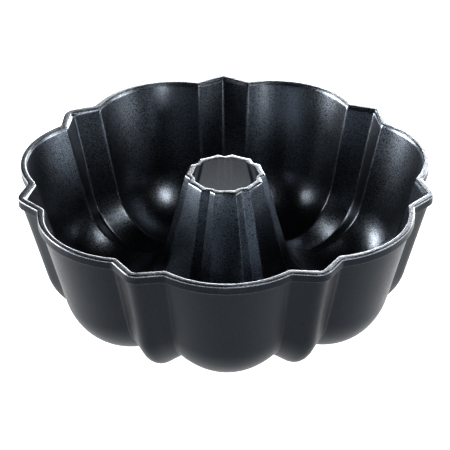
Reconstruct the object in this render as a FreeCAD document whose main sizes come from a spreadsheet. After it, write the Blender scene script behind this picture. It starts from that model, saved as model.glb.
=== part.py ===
"""A fluted ring cake pan: one cast shell with a centre tube, and the two coats of its finish.

Seven broad lobes and seven narrow ribs run down the wall, round under the trough and up the tube.
Each body is lofted through upright cross-sections that fan out around the axis, one flute wide,
and is then patterned round. The origin is on the axis, in the plane that the pan rests on.
"""
import FreeCAD, Part
import math
import os

import Sketcher
from FreeCAD import Placement, Rotation, Vector

# Driving dimensions, in millimetres and degrees. The sizes that end in _lobe, _notch and _rib belong
# to the cross-sections through the middle of a lobe, the crease beside it and the crest of a rib.
SIZES = {
    "flutes": 7,              # lobes round the pan, with a rib between each pair
    "first_lobe": -90,        # direction of the first lobe, from +X
    "height": 89,             # rim top above the resting plane
    "rim_out_lobe": 130,      # outer radius of the upright rim band
    "rim_out_notch": 122.2,
    "rim_out_rib": 130,
    "rim_in_lobe": 126.75,    # inner radius of the rim
    "rim_in_notch": 117.9,
    "rim_in_rib": 126.75,
    "wall_lobe": 130.3,       # outer face of the sloping wall, extended up to rim level
    "wall_notch": 121.3,
    "wall_rib": 129.35,
    "bore_lobe": 19.9,        # hole through the tube, extended up to rim level
    "bore_notch": 20.4,
    "bore_rib": 19.3,
    "tube_lobe": 23.5,        # outer face of the tube, extended up to rim level
    "tube_notch": 24.7,
    "tube_rib": 22.2,
    "floor_lobe": -0.6,       # lowest level of the underside before the lands are ground
    "floor_notch": 6.2,
    "floor_rib": -0.6,
    "wall_draft": 14.5,       # slope of the wall from upright
    "tube_draft": 14.6,       # slope of the tube from upright
    "cast_wall": 3,           # thickness of the casting
    "coat": 0.3,              # thickness that stands in for a sprayed coat
    "band_depth": 5.8,        # rim band outside, down from the rim top
    "ledge_drop": 0.6,        # fall of the small ledge under that band
    "inner_band_depth": 0.9,  # rim band inside
    "inner_ledge_drop": 1.2,  # fall of the sloping ledge under that band
    "rim_stock": 0.5,         # extra height that is cut off to leave the rim flat
    "tube_drop": 1,           # tube top below the rim top
    "crease_angle": 18.46,    # plane of the crease, from the middle of the lobe
    "crease_offset": 1.57,    # distance by which that plane misses the axis
    "lobe_swing": 40.2,       # half the arc that a lobe bulges through
    "nose_radius": 9.8,       # rounding of a rib's outer crest; its inner valley is sharp
    "nose_share": 0.29,       # part of a rib's width that is its rounded nose
    "rib_angle_wall": 8,      # half the angle that a rib spans at the rim
    "rib_angle_tube": 10.9,   # half the angle that its groove spans at the tube's top
    "coat_relief": 0.05,      # exterior coat held back from the resting plane
}
# Places of the cross-sections, as shares of a lobe's and of a nose's half width.
LOBE_STATIONS = (-1.0, -0.5, 0.0, 0.5, 1.0)
NOSE_STATIONS = (-1.0, -0.5, 0.0, 0.5, 1.0)

# Sketcher's numbers for the ends of an edge, the centre of an arc and a sketch's origin.
START = 1
END = 2
CENTRE = 3
ORIGIN = (-1, 1)

# Rough figures that a trough is first drawn with, before its constraints pull it to size.
ROUGH_CENTRE = Vector(75, 40, 0)
ROUGH_RADIUS = 40
ROUGH_STEP = 4
ROUGH_RISE = 45

# Wider than the pan, so that a flat cut takes all of it.
CUT_RADIUS = 150

document = FreeCAD.newDocument("BundtPan")
sheet = document.addObject("Spreadsheet::Sheet", "Sizes")
for row, (alias, number) in enumerate(SIZES.items(), start=1):
    sheet.set("A%d" % row, alias)
    sheet.set("B%d" % row, str(number))
    sheet.setAlias("B%d" % row, alias)
document.recompute()


def origin_feature(body, role):
    """The named plane or axis of a body's own origin."""
    for feature in body.Origin.OriginFeatures:
        if feature.Role == role:
            return feature
    raise RuntimeError("no origin feature " + role)


class Section:
    """One upright cross-section, drawn roughly and then pulled to size by its constraints.

    Its sizes lie between those of the crease and those of the key section (lobe or rib): a blend is
    0 at the crease and 1 at the key section. Each side of the pan, and each end of the section, has
    its own. A depth is measured inwards from the pan's outside.
    """

    def __init__(self, body, name, key, blends, angle, offset):
        self.key = key
        self.blends = blends
        self.sketch = body.newObject("Sketcher::SketchObject", name)
        self.sketch.AttachmentSupport = [(origin_feature(body, "XZ_Plane"), "")]
        self.sketch.MapMode = "FlatFace"
        self.sketch.AttachmentOffset = Placement(Vector(), Rotation(Vector(0, 1, 0), -90))
        turned = "(Sizes.first_lobe + %s)" % angle
        self.sketch.setExpression("AttachmentOffset.Rotation.Angle", turned + " * 1 deg")
        self.sketch.setExpression("AttachmentOffset.Base.x", "-(%s) * sin(%s)" % (offset, turned))
        self.sketch.setExpression("AttachmentOffset.Base.z", "-(%s) * cos(%s)" % (offset, turned))

    def size(self, name, side):
        """Formula for a size of this section, on the "outside" or the "inside" of the pan."""
        notch = "Sizes.%s_notch" % name
        blend = self.blends[side, "tube" if name in ("bore", "tube") else "wall"]
        return "(%s + %.5f * (Sizes.%s_%s - %s))" % (notch, blend, name, self.key, notch)

    def constrain(self, *terms):
        return self.sketch.addConstraint(Sketcher.Constraint(*terms))

    def dimension(self, kind, geometry, end, expression):
        """Set a point's distance from the origin, along x or y, to a formula of the sheet."""
        point = self.sketch.getPoint(geometry, end)
        now = point.x if kind == "DistanceX" else point.y
        index = self.constrain(kind, *ORIGIN, geometry, end, now)
        self.sketch.setExpression("Constraints[%d]" % index, expression)

    def tilt(self, line, degrees, expression):
        """Set the direction of a line from the x axis."""
        index = self.constrain("Angle", line, math.radians(degrees))
        self.sketch.setExpression("Constraints[%d]" % index, "(%s) * 1 deg" % expression)

    def skin(self, side, depth, wall_level, tube_level):
        """The wall, trough and tube at one depth. Returns its two free ends, at the wall and tube."""
        sketch = self.sketch
        tube_foot = math.radians(180 + SIZES["tube_draft"])
        wall_foot = math.radians(360 - SIZES["wall_draft"])
        radius = ROUGH_RADIUS - (ROUGH_STEP if sketch.GeometryCount else 0)
        circle = Part.Circle(ROUGH_CENTRE, Vector(0, 0, 1), radius)
        rise = Vector(0, ROUGH_RISE, 0)
        out = Vector(ROUGH_RISE * math.tan(math.radians(SIZES["wall_draft"])), 0, 0)
        inner, outer = circle.value(tube_foot), circle.value(wall_foot)
        wall = sketch.addGeometry(Part.LineSegment(outer + rise + out, outer))
        trough = sketch.addGeometry(Part.ArcOfCircle(circle, tube_foot, wall_foot))
        tube = sketch.addGeometry(Part.LineSegment(inner, inner + rise - out))
        lowest = circle.value(math.radians(270))
        plumb = sketch.addGeometry(Part.LineSegment(ROUGH_CENTRE, lowest), True)
        self.constrain("Tangent", wall, END, trough, END)
        self.constrain("Tangent", tube, START, trough, START)
        self.constrain("Coincident", plumb, START, trough, CENTRE)
        self.constrain("PointOnObject", plumb, END, trough)
        self.constrain("Vertical", plumb)
        self.tilt(wall, -90 - SIZES["wall_draft"], "-90 - Sizes.wall_draft")
        self.tilt(tube, 90 + SIZES["tube_draft"], "90 + Sizes.tube_draft")
        self.dimension("DistanceY", wall, START, wall_level)
        self.dimension("DistanceY", tube, END, tube_level)
        self.dimension("DistanceX", wall, START, self.wall_face(side, depth, wall_level))
        self.dimension("DistanceX", tube, END, self.tube_face(side, depth, tube_level))
        self.dimension("DistanceY", plumb, END, "%s + %s" % (self.size("floor", side), depth))
        return (wall, START), (tube, END)

    def wall_face(self, side, depth, level):
        """Formula for the wall's distance from the axis at a depth and a level."""
        fall = "tan(Sizes.wall_draft) * (Sizes.height - (%s))" % level
        return "%s - %s - (%s) / cos(Sizes.wall_draft)" % (self.size("wall", side), fall, depth)

    def tube_face(self, side, depth, level):
        """Formula for the tube's distance from the axis at a depth and a level."""
        flare = "tan(Sizes.tube_draft) * (Sizes.height - (%s))" % level
        if side == "outside":
            face = "%s + (%s) / cos(Sizes.tube_draft)" % (self.size("bore", side), depth)
        else:
            face = "%s - (%s - %s) / cos(Sizes.tube_draft)" % (self.size("tube", side), INSIDE, depth)
        return "%s + %s" % (face, flare)

    def path(self, start, corners, finish):
        """Straight edges from one free end to another through corners given as x, y formulas."""
        sketch = self.sketch
        last = start
        begin, stop = sketch.getPoint(*start), sketch.getPoint(*finish)
        for number, corner in enumerate(corners, start=1):
            point = begin + (stop - begin) * (number / (len(corners) + 1)) + Vector(0, ROUGH_STEP, 0)
            edge = sketch.addGeometry(Part.LineSegment(sketch.getPoint(*last), point))
            self.constrain("Coincident", edge, START, *last)
            self.dimension("DistanceX", edge, END, corner[0])
            self.dimension("DistanceY", edge, END, corner[1])
            last = (edge, END)
        edge = sketch.addGeometry(Part.LineSegment(sketch.getPoint(*last), stop))
        self.constrain("Coincident", edge, START, *last)
        self.constrain("Coincident", edge, END, *finish)


# Levels and depths that the three bodies share. A buried level is one coat under the finished one.
SURFACE = "0"
CAST_OUTSIDE = "Sizes.coat"
CAST_INSIDE = "(Sizes.coat + Sizes.cast_wall)"
INSIDE = "(2 * Sizes.coat + Sizes.cast_wall)"
RAW_RIM_TOP = "(Sizes.height + Sizes.rim_stock)"
CAST_RIM_TOP = "(Sizes.height - Sizes.coat)"
TUBE_TOP = "(Sizes.height - Sizes.tube_drop)"
CAST_TUBE_TOP = "(Sizes.height - Sizes.tube_drop - Sizes.coat)"
BAND_FOOT = "(Sizes.height - Sizes.band_depth)"
LEDGE_FOOT = "(Sizes.height - Sizes.band_depth - Sizes.ledge_drop)"
INNER_BAND_FOOT = "(Sizes.height - Sizes.inner_band_depth)"
INNER_LEDGE_FOOT = "(Sizes.height - Sizes.inner_band_depth - Sizes.inner_ledge_drop)"


def draw_exterior(section):
    """The outer coat: from the rim's outer edge, down and under the trough, and up the bore."""
    rim = section.size("rim_out", "outside")
    wall, bore = section.skin("outside", SURFACE, LEDGE_FOOT, CAST_TUBE_TOP)
    cast_wall, cast_bore = section.skin(
        "outside", CAST_OUTSIDE, LEDGE_FOOT + " + Sizes.coat", CAST_TUBE_TOP)
    section.path(wall, [
        (rim, BAND_FOOT),
        (rim, CAST_RIM_TOP),
        (rim + " - Sizes.coat", CAST_RIM_TOP),
        (rim + " - Sizes.coat", BAND_FOOT + " + Sizes.coat"),
    ], cast_wall)
    section.path(bore, [], cast_bore)


def draw_casting(section):
    """The cast metal between the two coats."""
    rim_out = section.size("rim_out", "outside") + " - Sizes.coat"
    rim_in = section.size("rim_in", "inside") + " + Sizes.coat"
    wall, bore = section.skin(
        "outside", CAST_OUTSIDE, LEDGE_FOOT + " + Sizes.coat", CAST_TUBE_TOP)
    inner_wall, tube = section.skin(
        "inside", CAST_INSIDE, INNER_LEDGE_FOOT + " - Sizes.coat", CAST_TUBE_TOP)
    section.path(wall, [
        (rim_out, BAND_FOOT + " + Sizes.coat"),
        (rim_out, CAST_RIM_TOP),
        (rim_in, CAST_RIM_TOP),
        (rim_in, INNER_BAND_FOOT + " - Sizes.coat"),
    ], inner_wall)
    section.path(bore, [], tube)


def draw_interior(section):
    """The release coat: over the rim, down the inside, along the trough and over the tube's top."""
    rim_out = section.size("rim_out", "outside")
    rim_in = section.size("rim_in", "inside")
    buried_wall, buried_tube = section.skin(
        "inside", CAST_INSIDE, INNER_LEDGE_FOOT + " - Sizes.coat", CAST_TUBE_TOP)
    wall, tube = section.skin("inside", INSIDE, INNER_LEDGE_FOOT, TUBE_TOP)
    section.path(wall, [
        (rim_in, INNER_BAND_FOOT),
        (rim_in, RAW_RIM_TOP),
        (rim_out, RAW_RIM_TOP),
        (rim_out, CAST_RIM_TOP),
        (rim_in + " + Sizes.coat", CAST_RIM_TOP),
        (rim_in + " + Sizes.coat", INNER_BAND_FOOT + " - Sizes.coat"),
    ], buried_wall)
    bore = section.tube_face("outside", SURFACE, CAST_TUBE_TOP)
    section.path(tube, [(bore, TUBE_TOP), (bore, CAST_TUBE_TOP)], buried_tube)


def lobe_blends(share):
    """How far a lobe has bulged at a share of its half width: it is an arc in plan."""
    swing = math.radians(SIZES["lobe_swing"])
    bulge = (math.cos(share * swing) - math.cos(swing)) / (1 - math.cos(swing))
    return {(side, end): bulge for side in ("outside", "inside") for end in ("wall", "tube")}


def nose_blend(share):
    """The same for the outside of a rib's nose, a circle in plan."""
    angle = share * math.radians(SIZES["rib_angle_wall"])
    radius, crest, notch = SIZES["nose_radius"], SIZES["rim_out_rib"], SIZES["rim_out_notch"]
    centre = crest - radius
    reach = centre * math.cos(angle) + math.sqrt(radius ** 2 - (centre * math.sin(angle)) ** 2)
    return (reach - notch) / (crest - notch)


def flank_blend(share, rib_angle, notch, crest):
    """The same for a flank that runs straight in plan from the crease to a sharp crest."""
    whole = math.radians(rib_angle)
    angle = abs(share) * whole
    reach = crest * notch * math.sin(whole)
    reach /= crest * math.sin(angle) + notch * math.sin(whole - angle)
    return (reach - notch) / (crest - notch)


def rib_blends(share):
    nose = nose_blend(share) if abs(share) < 1 else 0
    wall = (SIZES["rib_angle_wall"], SIZES["rim_in_notch"], SIZES["rim_in_rib"])
    tube = (SIZES["rib_angle_tube"], SIZES["tube_notch"], SIZES["tube_rib"])
    return {
        ("outside", "wall"): nose,
        ("outside", "tube"): nose,
        ("inside", "wall"): flank_blend(share, *wall),
        ("inside", "tube"): flank_blend(share, *tube),
    }


def lobe_section(body, draw, share):
    """A section across a lobe: share runs from -1 to 1, from crease to crease."""
    name = "Lobe_%+.1f" % share
    angle = "%g * Sizes.crease_angle" % share
    offset = "%g * Sizes.crease_offset" % -share
    section = Section(body, name, "lobe", lobe_blends(share), angle, offset)
    draw(section)
    return section.sketch


def rib_section(body, draw, share):
    """A section across the rib that follows the lobe, from crease (-1) over the crest to crease (1)."""
    name = "Rib_%+.2f" % share
    half_pitch = "180 / Sizes.flutes"
    angle = "%s + %g * (%s - Sizes.crease_angle)" % (half_pitch, share, half_pitch)
    offset = "%g * Sizes.crease_offset" % share
    section = Section(body, name, "rib", rib_blends(share), angle, offset)
    draw(section)
    return section.sketch


def loft(body, name, sketches, ruled):
    feature = body.newObject("PartDesign::AdditiveLoft", name)
    feature.Profile = sketches[0]
    feature.Sections = sketches[1:]
    feature.Ruled = ruled
    return feature


def make_body(label, draw):
    """One flute of the pan, a lobe and a rib, patterned round the axis."""
    body = document.addObject("PartDesign::Body", label)
    body.Label = label
    lobe = [lobe_section(body, draw, share) for share in LOBE_STATIONS]
    nose = [rib_section(body, draw, share * SIZES["nose_share"]) for share in NOSE_STATIONS]
    crest = len(nose) // 2
    next_crease = rib_section(body, draw, 1.0)
    document.recompute()
    flute = [
        loft(body, "Lobe", lobe, False),
        loft(body, "Flank", [lobe[-1], nose[0]], True),
        loft(body, "Nose", nose[:crest + 1], False),
        loft(body, "FarNose", nose[crest:], False),
        loft(body, "FarFlank", [nose[-1], next_crease], True),
    ]
    ring = body.newObject("PartDesign::PolarPattern", "Ring")
    ring.Originals = flute
    ring.Axis = (origin_feature(body, "Z_Axis"), [""])
    ring.Angle = 360
    ring.setExpression("Occurrences", "Sizes.flutes")
    body.Tip = ring
    document.recompute()
    return body


def cut_flat(body, name, level, above):
    """Cut off all of a body that lies above, or else below, a level."""
    before = body.Shape.Volume
    sketch = body.newObject("Sketcher::SketchObject", name + "Disc")
    sketch.AttachmentSupport = [(origin_feature(body, "XY_Plane"), "")]
    sketch.MapMode = "FlatFace"
    sketch.setExpression("AttachmentOffset.Base.z", level)
    disc = sketch.addGeometry(Part.Circle(Vector(), Vector(0, 0, 1), CUT_RADIUS))
    sketch.addConstraint(Sketcher.Constraint("Coincident", disc, CENTRE, *ORIGIN))
    sketch.addConstraint(Sketcher.Constraint("Radius", disc, CUT_RADIUS))
    cut = body.newObject("PartDesign::Pocket", name)
    cut.Profile = sketch
    cut.Type = "ThroughAll"
    cut.Reversed = above
    body.Tip = cut
    document.recompute()
    print("  %s removes %.1f mm3" % (name, before - body.Shape.Volume))
    if body.Shape.Volume > before - 1:
        raise RuntimeError("nothing was cut off " + body.Label)


# The underside is ground level, which leaves a resting land under each lobe and each rib.
casting = make_body("pan_casting", draw_casting)
cut_flat(casting, "Lands", "0", above=False)
exterior = make_body("exterior_coating", draw_exterior)
cut_flat(exterior, "LandEdges", "Sizes.coat_relief", above=False)
interior = make_body("interior_coating", draw_interior)
cut_flat(interior, "RimTop", "Sizes.height", above=True)

for item in document.Objects:
    if "Invalid" in item.State or "Error" in item.State:
        raise RuntimeError("%s failed: %s" % (item.Name, item.State))

os.makedirs("parts", exist_ok=True)
for body in (casting, exterior, interior):
    shape = body.Shape
    if shape.isNull() or not shape.isValid() or len(shape.Solids) != 1:
        raise RuntimeError("bad shape in " + body.Label)
    shape.exportStep("parts/%s.step" % body.Label)
    print(body.Label, "%.0f mm3" % shape.Volume, shape.BoundBox)
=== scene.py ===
"""The looks of a cast ring cake pan: its two non-stick coats, with rounded edges, over the casting.

Lengths are in millimetres until a mesh is made, and in metres from there on. Levels are heights
above the table.
"""
import math

import bpy
import numpy as np
from mathutils import Matrix, Vector


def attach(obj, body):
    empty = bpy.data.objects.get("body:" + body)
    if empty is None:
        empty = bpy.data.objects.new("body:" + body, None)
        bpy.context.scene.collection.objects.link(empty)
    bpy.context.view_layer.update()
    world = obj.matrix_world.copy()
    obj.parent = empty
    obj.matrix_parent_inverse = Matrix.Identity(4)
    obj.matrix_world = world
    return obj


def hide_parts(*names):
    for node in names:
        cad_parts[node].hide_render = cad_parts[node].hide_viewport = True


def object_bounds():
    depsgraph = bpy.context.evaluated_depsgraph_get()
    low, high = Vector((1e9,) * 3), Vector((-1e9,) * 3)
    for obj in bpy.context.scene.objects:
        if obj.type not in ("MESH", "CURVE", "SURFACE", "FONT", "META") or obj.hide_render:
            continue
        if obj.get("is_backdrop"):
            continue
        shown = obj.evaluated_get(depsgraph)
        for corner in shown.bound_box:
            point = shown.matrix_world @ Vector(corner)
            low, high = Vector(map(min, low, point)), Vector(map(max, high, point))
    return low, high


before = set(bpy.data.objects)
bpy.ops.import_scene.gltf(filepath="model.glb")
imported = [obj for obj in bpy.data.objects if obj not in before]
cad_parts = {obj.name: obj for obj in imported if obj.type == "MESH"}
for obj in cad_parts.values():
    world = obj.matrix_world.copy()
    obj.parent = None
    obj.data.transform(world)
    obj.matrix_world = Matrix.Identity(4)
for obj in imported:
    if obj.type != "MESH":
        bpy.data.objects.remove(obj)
cad_low, cad_high = (list(corner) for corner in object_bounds())

MM = 0.001

# ---------------------------------------------------------------- the pan's shape
HEIGHT = cad_high[2] / MM            # rim top above the table
LOBE_RADIUS = -cad_low[1] / MM       # to the middle of a lobe, at the rim
FLUTES = 7                           # a flute is one lobe and the rib after it
FIRST_LOBE = math.radians(-90)       # the first lobe faces -Y
HALF_PITCH = math.pi / FLUTES

# Each size is given for the middle of a lobe, the crease beside it and the crest of a rib.
# The faces of the wall and the tube lean, so their distances from the axis are those that they
# would have at the rim's top. "floor" is the level of the underside before it is ground flat.
SHAPE = {
    "rim_out": {"lobe": LOBE_RADIUS, "notch": 122.2, "rib": LOBE_RADIUS},
    "rim_in": {"lobe": 126.75, "notch": 117.9, "rib": 126.75},
    "wall": {"lobe": 130.3, "notch": 121.3, "rib": 129.35},
    "bore": {"lobe": 19.9, "notch": 20.4, "rib": 19.3},
    "tube": {"lobe": 23.5, "notch": 24.7, "rib": 22.2},
    "floor": {"lobe": -0.6, "notch": 6.2, "rib": -0.6},
}
WALL_DRAFT = math.radians(14.5)      # slope of the wall from upright
TUBE_DRAFT = math.radians(14.6)      # slope of the tube from upright
COAT = 0.3                           # thickness of each coat
CAST_WALL = 3                        # thickness of the metal between them
THICKNESS = CAST_WALL + 2 * COAT
BAND_DEPTH = 5.8                     # height of the upright band round the rim
LEDGE_DROP = 0.6                     # height of the sloping ledge under the band
INNER_BAND_DEPTH = 0.9               # the same two inside the rim
INNER_LEDGE_DROP = 1.2
TUBE_DROP = 1.0                      # tube top below the rim top
COAT_RELIEF = 0.05                   # the outer coat stops this far above the table
CREASE_ANGLE = math.radians(18.46)   # direction of a crease in plan, from the middle of its lobe
CREASE_OFFSET = 1.57                 # how far the line of a crease passes from the axis
LOBE_SWING = math.radians(40.2)      # half the angle of the arc that a lobe bulges in
NOSE_RADIUS = 9.8                    # of the round outside of a rib
RIB_ANGLE_WALL = math.radians(8)     # half width of a rib at the wall, seen from the axis
RIB_ANGLE_TUBE = math.radians(10.9)  # and at the tube


def lobe_blend(share):
    """How far a lobe has bulged at a share of its half width: it is an arc in plan."""
    return (np.cos(share * LOBE_SWING) - math.cos(LOBE_SWING)) / (1 - math.cos(LOBE_SWING))


def nose_blend(share):
    """The outside of a rib: straight flanks that meet a circle in plan."""
    crest, notch = SHAPE["rim_out"]["rib"], SHAPE["rim_out"]["notch"]
    centre = crest - NOSE_RADIUS
    crease = np.array([notch * math.sin(RIB_ANGLE_WALL), notch * math.cos(RIB_ANGLE_WALL) - centre])
    away = math.hypot(*crease)
    touch = math.atan2(crease[0], crease[1]) - math.acos(NOSE_RADIUS / away)
    edge = NOSE_RADIUS * np.array([math.sin(touch), math.cos(touch)])
    angle = np.abs(share) * RIB_ANGLE_WALL
    across = np.clip(centre * np.sin(angle), 0, NOSE_RADIUS)
    circle = centre * np.cos(angle) + np.sqrt(NOSE_RADIUS ** 2 - across ** 2)
    slope = (edge[1] - crease[1]) / (crease[0] - edge[0])
    sharp = centre + edge[1] + slope * edge[0]
    flank = sharp / (np.cos(angle) + slope * np.sin(angle))
    edge_angle = math.atan2(edge[0], centre + edge[1])
    reach = np.where(angle < edge_angle, circle, flank)
    return (reach - notch) / (crest - notch)


def flank_blend(share, rib_angle, size):
    """The inside of a rib: straight flanks in plan that meet in a sharp valley."""
    crest, notch = size["rib"], size["notch"]
    angle = np.abs(share) * rib_angle
    reach = crest * notch * math.sin(rib_angle)
    reach = reach / (crest * np.sin(angle) + notch * np.sin(rib_angle - angle))
    return (reach - notch) / (crest - notch)


def sizes(key, share, side):
    """Every size of SHAPE across a lobe or a rib, on the "outside" or "inside" of the pan."""
    if key == "lobe":
        wall = tube = lobe_blend(share)
    elif side == "outside":
        wall = tube = nose_blend(share)
    else:
        wall = flank_blend(share, RIB_ANGLE_WALL, SHAPE["rim_in"])
        tube = flank_blend(share, RIB_ANGLE_TUBE, SHAPE["tube"])
    found = {}
    for name, size in SHAPE.items():
        blend = tube if name in ("bore", "tube") else wall
        found[name] = size["notch"] + blend * (size[key] - size["notch"])
    if side == "inside":
        found["bore"] = found["tube"] - THICKNESS / math.cos(TUBE_DRAFT)
    return found


def skin(size, depth, wall_level, tube_level, trough_steps, side_steps):
    """Rows (distance from the axis, level) down the wall, through the trough and up the tube."""
    wall_lean, tube_lean = math.tan(WALL_DRAFT), math.tan(TUBE_DRAFT)
    wall_reach = 1 / math.cos(WALL_DRAFT)
    tube_reach = 1 / math.cos(TUBE_DRAFT)
    drop = HEIGHT - size["floor"]
    radius = size["wall"] - size["bore"] - (wall_lean + tube_lean) * drop
    radius = radius / (wall_reach + tube_reach - wall_lean - tube_lean)
    centre_level = size["floor"] + radius
    centre = size["wall"] - wall_lean * (HEIGHT - centre_level) - radius * wall_reach
    radius = radius - depth
    rows = []
    for angle in np.linspace(-WALL_DRAFT, TUBE_DRAFT - math.pi, trough_steps):
        rows.append((centre + radius * math.cos(angle), centre_level + radius * math.sin(angle)))
    wall_top = (size["wall"] - wall_lean * (HEIGHT - wall_level) - depth * wall_reach, wall_level)
    tube_top = (size["bore"] + tube_lean * (HEIGHT - tube_level) + depth * tube_reach, tube_level)
    down = [mix(wall_top, rows[0], step / side_steps) for step in range(side_steps)]
    up = [mix(rows[-1], tube_top, step / side_steps) for step in range(1, side_steps + 1)]
    return down + rows + up


def mix(start, stop, share):
    """The point a share of the way from one point to another."""
    return tuple(a + (b - a) * share for a, b in zip(start, stop))


def rounded(corners, radii, steps):
    """A chain of straight runs with its corners rounded. A radius is the length that each loses."""
    rows = [corners[0]]
    for before, corner, after, radius in zip(corners, corners[1:], corners[2:], radii):
        ends = []
        for other in (before, after):
            run = np.hypot(other[0] - corner[0], other[1] - corner[1])
            ends.append(mix(corner, other, radius / run))
        for step in range(steps + 1):
            share = step / steps
            rows.append(mix(mix(ends[0], corner, share), mix(corner, ends[1], share), share))
    rows.append(corners[-1])
    return rows


# ---------------------------------------------------------------- sections of the two coats
SEAM = 1.2                  # the inner coat wraps over the rim's outer edge by this much
JOINT_RUN = 3.0             # straight run between a rounded corner and the long rows of a skin
EDGE_STEPS = 5              # rows round each edge
TROUGH_STEPS = 56
SIDE_STEPS = 14
BURIED_TROUGH_STEPS = 28    # the side of a coat that lies on the metal needs fewer rows
BURIED_SIDE_STEPS = 4

# Roundings, as the length that each corner takes off the runs beside it.
RIM_ROUNDING = (0.9, 0.55, 0.3, 0.5)    # outer edge, inner edge, foot of the inner band, wall top
LIP_ROUNDING = (1.2, 0.28)              # the tube's outer edge and the edge of its hole
BAND_ROUNDING = (0.5, 0.7)              # foot of the rim band and wall top


def inner_section(key, share):
    """The inner coat: over the rim, down the inside, over the tube's top, and back underneath."""
    out, size = sizes(key, share, "outside"), sizes(key, share, "inside")
    ledge = HEIGHT - INNER_BAND_DEPTH
    wall_top, tube_top = ledge - INNER_LEDGE_DROP, HEIGHT - TUBE_DROP
    face = skin(size, THICKNESS, wall_top, tube_top, 2, 1)
    main = skin(size, THICKNESS, wall_top - JOINT_RUN, tube_top - JOINT_RUN,
                TROUGH_STEPS, SIDE_STEPS)
    bore = skin(out, 0, wall_top, tube_top, 2, 1)[-1][0]
    rim = [(out["rim_out"], HEIGHT - SEAM), (out["rim_out"], HEIGHT), (size["rim_in"], HEIGHT),
           (size["rim_in"], ledge), face[0], main[0]]
    lip = [main[-1], face[-1], (bore, tube_top), (bore, tube_top - COAT)]
    shown = rounded(rim, RIM_ROUNDING, EDGE_STEPS)[:-1] + main[:-1]
    shown += rounded(lip, LIP_ROUNDING, EDGE_STEPS)
    back = skin(size, THICKNESS - COAT, wall_top - COAT, tube_top - COAT,
                BURIED_TROUGH_STEPS, BURIED_SIDE_STEPS)[::-1]
    back += [(size["rim_in"] + COAT, ledge - COAT), (size["rim_in"] + COAT, HEIGHT - COAT),
             (out["rim_out"] - COAT, HEIGHT - COAT), (out["rim_out"] - COAT, HEIGHT - SEAM)]
    return shown, back


def outer_section(key, share):
    """The outer coat: down the rim band and wall, round the underside, up the bore, and back."""
    size = sizes(key, share, "outside")
    band_foot = HEIGHT - BAND_DEPTH
    wall_top, tube_top = band_foot - LEDGE_DROP, HEIGHT - TUBE_DROP - COAT
    face = skin(size, 0, wall_top, tube_top, 2, 1)
    main = skin(size, 0, wall_top - JOINT_RUN, tube_top, TROUGH_STEPS, SIDE_STEPS)
    band = [(size["rim_out"], HEIGHT - SEAM), (size["rim_out"], band_foot), face[0], main[0]]
    shown = rounded(band, BAND_ROUNDING, EDGE_STEPS)[:-1] + main
    back = skin(size, COAT, wall_top + COAT, tube_top,
                BURIED_TROUGH_STEPS, BURIED_SIDE_STEPS)[::-1]
    back += [(size["rim_out"] - COAT, band_foot + COAT), (size["rim_out"] - COAT, HEIGHT - SEAM)]
    return ground(shown, COAT_RELIEF), ground(back, 2 * COAT_RELIEF)


def ground(rows, level):
    """Rows held above a level, as where the resting lands are ground flat."""
    return [(reach, np.maximum(height, level)) for reach, height in rows]


def place(key, share, rows):
    """Points in space of a section's rows, for an array of shares: rows x shares x 3."""
    if key == "lobe":
        angle, offset = share * CREASE_ANGLE, -share * CREASE_OFFSET
    else:
        angle = HALF_PITCH + share * (HALF_PITCH - CREASE_ANGLE)
        offset = share * CREASE_OFFSET
    angle = angle + FIRST_LOBE
    points = np.empty((len(rows), len(share), 3))
    for number, (reach, height) in enumerate(rows):
        points[number, :, 0] = reach * np.cos(angle) - offset * np.sin(angle)
        points[number, :, 1] = reach * np.sin(angle) + offset * np.cos(angle)
        points[number, :, 2] = height
    return points


# Half widths of the rounded creases: shares of the way along the shown side, the widths there, and
# the width on the buried side. They are soft on the wall and crisper on the slim tube.
INNER_SOFTNESS = ((0, 0.3, 0.75, 1), (1.4, 1.4, 0.6, 0.45), 0.3)
OUTER_SOFTNESS = ((0, 0.1, 0.3, 0.75, 1), (2.0, 2.0, 1.1, 0.8, 0.5), 0.6)
PROBE = 0.04                # share of a half width over which a face's real width is measured

LOBE_COLUMNS = 27
FLANK_COLUMNS = 9           # on each flank of a rib
CREASE_COLUMNS = 5

# Convex edges that bend less than BLUNT, in radians per millimetre, show no wear, and those that
# bend more than SHARP show all of it.
BLUNT = 0.15
SHARP = 0.8
SHADE_ANGLE = math.radians(40)      # edges sharper than this aren't shaded smooth


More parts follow.
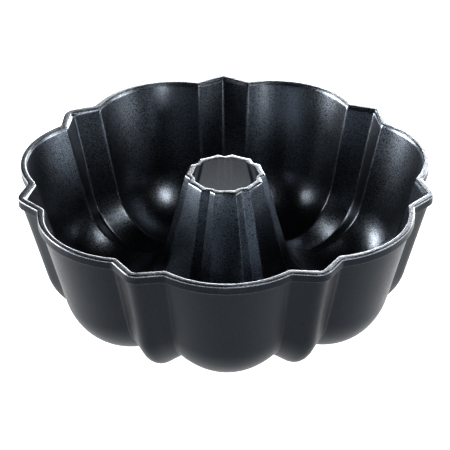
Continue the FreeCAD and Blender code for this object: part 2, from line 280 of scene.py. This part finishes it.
class Coat:
    """A coat's surface as a grid: rows run along a section, columns round the pan."""

    def __init__(self, section, softness):
        self.section = section
        shown, back = section("lobe", np.zeros(1))
        self.rows = len(shown) + len(back)
        shares, widths, buried = softness
        soft = np.interp(np.linspace(0, 1, len(shown)), shares, widths)
        self.softness = np.append(soft, np.full(len(back), buried))

    def at(self, key, share):
        """Points at one share for each row: rows x 3."""
        shown, back = self.section(key, share)
        points = place(key, share, shown + back)
        return points[np.arange(self.rows), np.arange(self.rows)]

    def soft_share(self, key, end):
        """How much of a half width the rounding of a crease takes up, for each row."""
        edge = self.at(key, np.full(self.rows, float(end)))
        near = self.at(key, np.full(self.rows, end - PROBE))
        return self.softness * PROBE / np.linalg.norm(edge - near, axis=1)

    def face(self, key, start, stop, columns):
        """Columns from one share to another, each given for every row."""
        return [self.at(key, start + (stop - start) * t) for t in np.linspace(0, 1, columns)]

    def flute(self, valley):
        """The columns of one lobe and the rib after it, creased along its middle if a valley."""
        one = np.ones(self.rows)
        lobe, rib = self.soft_share("lobe", 1), self.soft_share("rib", 1)
        middle = self.soft_share("rib", 0) * valley
        columns = self.face("lobe", lobe - one, one - lobe, LOBE_COLUMNS)
        corner = self.at("lobe", one)
        near = self.face("rib", rib - one, -middle, FLANK_COLUMNS)
        far = [mirrored_in_rib(column) for column in reversed(near)]
        columns += crease(columns[-1], corner, near[0]) + near
        if valley:
            columns += crease(near[-1], self.at("rib", 0 * one), far[0]) + far
        else:
            columns += far[1:]
        next_lobe = turned(columns[0], 1)
        return columns + crease(far[-1], mirrored_in_rib(corner), next_lobe)


def crease(before, corner, after):
    """Columns of a rounded crease between two faces, without the faces' own columns."""
    found = []
    for t in np.linspace(0, 1, CREASE_COLUMNS + 2)[1:-1]:
        found.append(before * (1 - t) ** 2 + corner * 2 * t * (1 - t) + after * t ** 2)
    return found


def mirrored_in_rib(points):
    """Points mirrored in the upright plane through the first rib."""
    angle = FIRST_LOBE + HALF_PITCH
    normal = np.array([-math.sin(angle), math.cos(angle), 0])
    return points - 2 * np.outer(points @ normal, normal)


def turned(points, flutes):
    """Points turned round the pan's axis by a number of flutes."""
    angle = 2 * HALF_PITCH * flutes
    cosine, sine = math.cos(angle), math.sin(angle)
    return points @ np.array([[cosine, sine, 0], [-sine, cosine, 0], [0, 0, 1]])


def sharpness(grid):
    """How sharp a convex edge each point of a closed grid lies on, from 0 to 1."""
    steps = [np.roll(grid, turn, axis) - grid for axis in (0, 1) for turn in (1, -1)]
    normal = np.cross(steps[1] - steps[0], steps[3] - steps[2])
    normal /= np.linalg.norm(normal, axis=2, keepdims=True)
    bend = np.zeros(grid.shape[:2])
    for back, forth in (steps[:2], steps[2:]):
        lengths = [np.linalg.norm(step, axis=2, keepdims=True) for step in (back, forth)]
        turn = back / lengths[0] + forth / lengths[1]
        found = 2 * np.sum(turn * normal, axis=2) / (lengths[0] + lengths[1])[..., 0]
        bend = np.maximum(bend, found)
    return np.clip((bend - BLUNT) / (SHARP - BLUNT), 0, 1)


def coat_mesh(name, coat, valley):
    """A closed solid: the grid joined up both along the section and round the pan."""
    flute = coat.flute(valley)
    columns = np.array([turned(column, number) for number in range(FLUTES) for column in flute])
    count, rows = columns.shape[:2]
    faces = []
    for column in range(count):
        here, right = column * rows, (column + 1) % count * rows
        for row in range(rows):
            below = (row + 1) % rows
            faces.append((here + row, here + below, right + below, right + row))
    mesh = bpy.data.meshes.new(name)
    mesh.from_pydata((columns.reshape(-1, 3) * MM).tolist(), [], faces)
    edge = mesh.attributes.new("edge", "FLOAT", "POINT")
    edge.data.foreach_set("value", sharpness(columns).ravel())
    mesh.validate()
    mesh.shade_smooth()
    mesh.set_sharp_from_angle(angle=SHADE_ANGLE)
    piece = bpy.data.objects.new(name, mesh)
    bpy.context.scene.collection.objects.link(piece)
    return piece


# ---------------------------------------------------------------- materials
# Sizes of the texture's features, in metres.
GRAIN = 0.00075
FLECKS = 0.0007
PITS = 0.0007
INNER_PEEL = 0.0025
OUTER_PEEL = 0.0022
SCUFFS = 0.004
PATCHES = 0.012
CLOUDS = 0.035

# Inside the tube the outer coat carries some of the inner coat's spray: most up to the first
# distance from the axis, in metres, and none beyond the second.
DUSTED = 0.03
CLEAN = 0.045
DUST = 0.8                          # how much of the surface it covers at most

SCRATCH_STRETCH = (1, 14, 1)        # makes the scratches run along X
SCRATCH_SCALE = 260.0               # scratches in a metre, about, before they are stretched


class Recipe:
    """A material under construction: its shader, and short ways to add and join nodes."""

    def __init__(self, name):
        self.material = bpy.data.materials.new(name)
        self.material.use_nodes = True
        self.tree = self.material.node_tree
        self.shader = self.tree.nodes["Principled BSDF"]
        self.place = self.node("ShaderNodeTexCoord").outputs["Object"]

    def plug(self, socket, given):
        """Give a socket a value, or join another socket to it."""
        if isinstance(given, bpy.types.NodeSocket):
            self.tree.links.new(given, socket)
        else:
            socket.default_value = given

    def node(self, kind, inputs=(), **settings):
        """A new node with its settings and inputs."""
        made = self.tree.nodes.new(kind)
        for name, setting in settings.items():
            setattr(made, name, setting)
        for name, given in dict(inputs).items():
            self.plug(made.inputs[name], given)
        return made

    def noise(self, size, detail, roughness=0.5):
        """Noise whose features are about so many metres across."""
        return self.node("ShaderNodeTexNoise", {
            "Vector": self.place, "Scale": 1 / size, "Detail": detail,
            "Roughness": roughness}).outputs["Fac"]

    def remap(self, given, low, high, to_low=0.0, to_high=1.0):
        """A range of values stretched over another, and cut off beyond it."""
        return self.node("ShaderNodeMapRange", {
            "Value": given, "From Min": low, "From Max": high,
            "To Min": to_low, "To Max": to_high}).outputs["Result"]

    def math(self, operation, first, second):
        """The sum or the product of two values."""
        made = self.node("ShaderNodeMath", {0: first, 1: second}, operation=operation)
        return made.outputs["Value"]

    def from_axis(self):
        """The distance from the pan's axis."""
        flat = self.node("ShaderNodeVectorMath", {0: self.place, 1: (1, 1, 0)}, operation="MULTIPLY")
        length = self.node("ShaderNodeVectorMath", {0: flat.outputs["Vector"]}, operation="LENGTH")
        return length.outputs["Value"]

    def blend(self, share, first, second):
        """Mix two colours, given as sockets or as red, green and blue."""
        colours = [c if isinstance(c, bpy.types.NodeSocket) else (*c, 1) for c in (first, second)]
        mixed = self.node("ShaderNodeMix", data_type="RGBA")
        # Its colours are inputs 6 and 7, and the mixed colour is output 2.
        for slot, given in zip((0, 6, 7), (share, *colours)):
            self.plug(mixed.inputs[slot], given)
        return mixed.outputs[2]

    def bump(self, height, distance, below=None):
        """A bump of so many metres, on top of another one if given."""
        inputs = {"Height": height, "Distance": distance, "Strength": 1.0}
        if below is not None:
            inputs["Normal"] = below
        return self.node("ShaderNodeBump", inputs).outputs["Normal"]

    def finish(self, **inputs):
        """The material, once these inputs of its shader are set or joined."""
        for name, given in inputs.items():
            self.plug(self.shader.inputs[name.replace("_", " ")], given)
        return self.material


def sprayed(recipe, dark, light, fleck, worn_colour, roughness):
    """Colour, roughness and grain of a sprayed coat: flecked, and a little rubbed on its edges."""
    grain = recipe.noise(GRAIN, 2, 0.6)
    cloud = recipe.remap(recipe.noise(CLOUDS, 3), 0.3, 0.7, -0.15, 0.15)
    shade = recipe.math("ADD", recipe.remap(grain, 0.36, 0.64), cloud)
    flecks = recipe.remap(recipe.noise(FLECKS, 1), 0.62, 0.72, 0, 0.6)
    edge = recipe.node("ShaderNodeAttribute", attribute_name="edge").outputs["Fac"]
    scuffs = recipe.remap(recipe.noise(SCUFFS, 4, 0.65), 0.42, 0.62, 0, 0.6)
    worn = recipe.math("MULTIPLY", edge, scuffs)
    colour = recipe.blend(flecks, recipe.blend(shade, dark, light), fleck)
    colour = recipe.blend(worn, colour, worn_colour)
    patches = recipe.noise(PATCHES, 4, 0.6)
    rough = recipe.remap(patches, 0.3, 0.7, roughness - 0.02, roughness + 0.02)
    rough = recipe.math("ADD", rough, recipe.remap(grain, 0.3, 0.7, -0.07, 0.07))
    rough = recipe.math("ADD", rough, recipe.math("MULTIPLY", worn, 0.1))
    return colour, rough, grain


def release_coat(name):
    """The inner coat: blue black with a metallic sheen, a fine grain and a glossy top."""
    recipe = Recipe(name)
    colour, rough, grain = sprayed(
        recipe, dark=(0.05, 0.058, 0.068), light=(0.235, 0.265, 0.305),
        fleck=(0.34, 0.36, 0.4), worn_colour=(0.36, 0.38, 0.41), roughness=0.32)
    peel = recipe.bump(recipe.noise(INNER_PEEL, 2), 0.00005)
    bumps = recipe.bump(grain, 0.00004, peel)
    return recipe.finish(
        Base_Color=colour, Roughness=rough, Normal=bumps, Metallic=1.0,
        Coat_Weight=1.0, Coat_Roughness=0.28, Coat_Normal=bumps)


def satin_coat(name):
    """The outer coat: dark graphite satin, dusted with the inner coat's spray inside the tube."""
    recipe = Recipe(name)
    colour, rough, grain = sprayed(
        recipe, dark=(0.002, 0.0025, 0.004), light=(0.009, 0.0105, 0.014),
        fleck=(0.03, 0.03, 0.035), worn_colour=(0.08, 0.08, 0.085), roughness=0.36)
    dusted = recipe.remap(recipe.from_axis(), DUSTED, CLEAN, DUST, 0)
    dust = recipe.blend(grain, (0.1, 0.105, 0.11), (0.3, 0.31, 0.33))
    peel = recipe.bump(recipe.noise(OUTER_PEEL, 2), 0.00002)
    return recipe.finish(
        Base_Color=recipe.blend(dusted, colour, dust), Roughness=rough,
        Normal=recipe.bump(grain, 0.00001, peel), Metallic=dusted,
        Specular_IOR_Level=0.3, Specular_Tint=(0.72, 0.86, 1, 1))


def ground_metal(name):
    """Bare cast aluminium, ground flat: scratches that run one way, dull patches and small pits."""
    recipe = Recipe(name)
    stretched = recipe.node("ShaderNodeMapping", {"Vector": recipe.place, "Scale": SCRATCH_STRETCH})
    scratches = recipe.node("ShaderNodeTexNoise", {
        "Vector": stretched.outputs["Vector"], "Scale": SCRATCH_SCALE,
        "Detail": 5.0, "Roughness": 0.7}).outputs["Fac"]
    dull = recipe.remap(recipe.noise(PATCHES, 4, 0.6), 0.4, 0.65)
    pits = recipe.remap(recipe.noise(PITS, 2), 0.66, 0.74)
    colour = recipe.blend(dull, (0.60, 0.60, 0.61), (0.38, 0.375, 0.365))
    colour = recipe.blend(pits, colour, (0.12, 0.12, 0.12))
    rough = recipe.remap(scratches, 0.3, 0.7, 0.28, 0.46)
    rough = recipe.math("ADD", rough, recipe.math("MULTIPLY", dull, 0.15))
    bumps = recipe.bump(scratches, 0.00006, recipe.bump(pits, -0.0001))
    return recipe.finish(Base_Color=colour, Roughness=rough, Normal=bumps, Metallic=1.0)


def lit_table(name):
    """A white table top that is lit from below."""
    return Recipe(name).finish(
        Base_Color=(0.8, 0.8, 0.8, 1), Roughness=0.9,
        Emission_Color=(1, 1, 1, 1), Emission_Strength=0.8)


# ---------------------------------------------------------------- pieces
inner = coat_mesh("inner_coat", Coat(inner_section, INNER_SOFTNESS), valley=True)
outer = coat_mesh("outer_coat", Coat(outer_section, OUTER_SOFTNESS), valley=False)
inner.data.materials.append(release_coat("release coat"))
outer.data.materials.append(satin_coat("outer coat"))
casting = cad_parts["pan_casting"]
casting.data.materials.clear()
casting.data.materials.append(ground_metal("ground aluminium"))
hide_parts("interior_coating")
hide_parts("exterior_coating")
for piece in (inner, outer):
    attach(piece, "root")

# ---------------------------------------------------------------- floor, lamps and camera
FLOOR_REACH = 40                            # metres from the pan to the floor's sides
AIM = Vector((-0.00035, 0, 0.05067))        # the point that the camera and the lamps look at
CAMERA_AZIMUTH = 180.512
CAMERA_ELEVATION = 31.568
CAMERA_DISTANCE = 1.46326
CAMERA_ROLL = math.radians(-0.305)
LENS = 185.77
SENSOR_WIDTH = 36
LAMP_DISTANCE = 1.6
WORLD_STRENGTH = 0.004

# Azimuth (0 behind the pan, 90 on its right), elevation, width and height in degrees, and brightness.
LAMPS = {
    "left": (281, 18, 34, 26, 9),
    "left_low": (272, 6, 16, 9, 17),
    "back_right": (22, 11, 52, 22, 14),
    "right": (99, 13, 28, 12, 10),
    "front_right_high": (148, 51, 14, 22, 6.5),
    "front_right_low": (165, 8, 7, 8, 12),
}


def looking_at_pan(azimuth, elevation, distance):
    """The place of a camera or lamp that looks at the pan from a direction in degrees."""
    azimuth, elevation = math.radians(azimuth), math.radians(elevation)
    level = math.cos(elevation)
    away = Vector((math.sin(azimuth) * level, math.cos(azimuth) * level, math.sin(elevation)))
    facing = away.to_track_quat("Z", "Y").to_matrix().to_4x4()
    return Matrix.Translation(AIM + distance * away) @ facing


def lamp(name, azimuth, elevation, width, height, brightness):
    """A rectangular lamp that takes up so many degrees across and up, seen from the pan."""
    data = bpy.data.lights.new(name, "AREA")
    data.shape = "RECTANGLE"
    data.size = 2 * LAMP_DISTANCE * math.tan(math.radians(width / 2))
    data.size_y = 2 * LAMP_DISTANCE * math.tan(math.radians(height / 2))
    data.energy = brightness * math.pi * data.size * data.size_y
    made = bpy.data.objects.new(name, data)
    bpy.context.scene.collection.objects.link(made)
    made.matrix_world = looking_at_pan(azimuth, elevation, LAMP_DISTANCE)


floor_mesh = bpy.data.meshes.new("floor")
corners = [(x * FLOOR_REACH, y * FLOOR_REACH, 0) for x, y in ((-1, -1), (1, -1), (1, 1), (-1, 1))]
floor_mesh.from_pydata(corners, [], [(0, 1, 2, 3)])
floor = bpy.data.objects.new("floor", floor_mesh)
bpy.context.scene.collection.objects.link(floor)
floor_mesh.materials.append(lit_table("floor"))
floor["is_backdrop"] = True

for name, values in LAMPS.items():
    lamp(name, *values)

camera_data = bpy.data.cameras.new("camera")
camera_data.lens = LENS
camera_data.sensor_width = SENSOR_WIDTH
camera = bpy.data.objects.new("camera", camera_data)
bpy.context.scene.collection.objects.link(camera)
bpy.context.scene.camera = camera
camera_place = looking_at_pan(CAMERA_AZIMUTH, CAMERA_ELEVATION, CAMERA_DISTANCE)
camera.matrix_world = camera_place @ Matrix.Rotation(CAMERA_ROLL, 4, "Z")

world = bpy.data.worlds.new("world")
bpy.context.scene.world = world
world.use_nodes = True
sky = world.node_tree.nodes["Background"]
sky.inputs["Color"].default_value = (1, 1, 1, 1)
sky.inputs["Strength"].default_value = WORLD_STRENGTH
bpy.context.scene.view_settings.view_transform = "Standard"
bpy.context.scene.view_settings.look = "High Contrast"
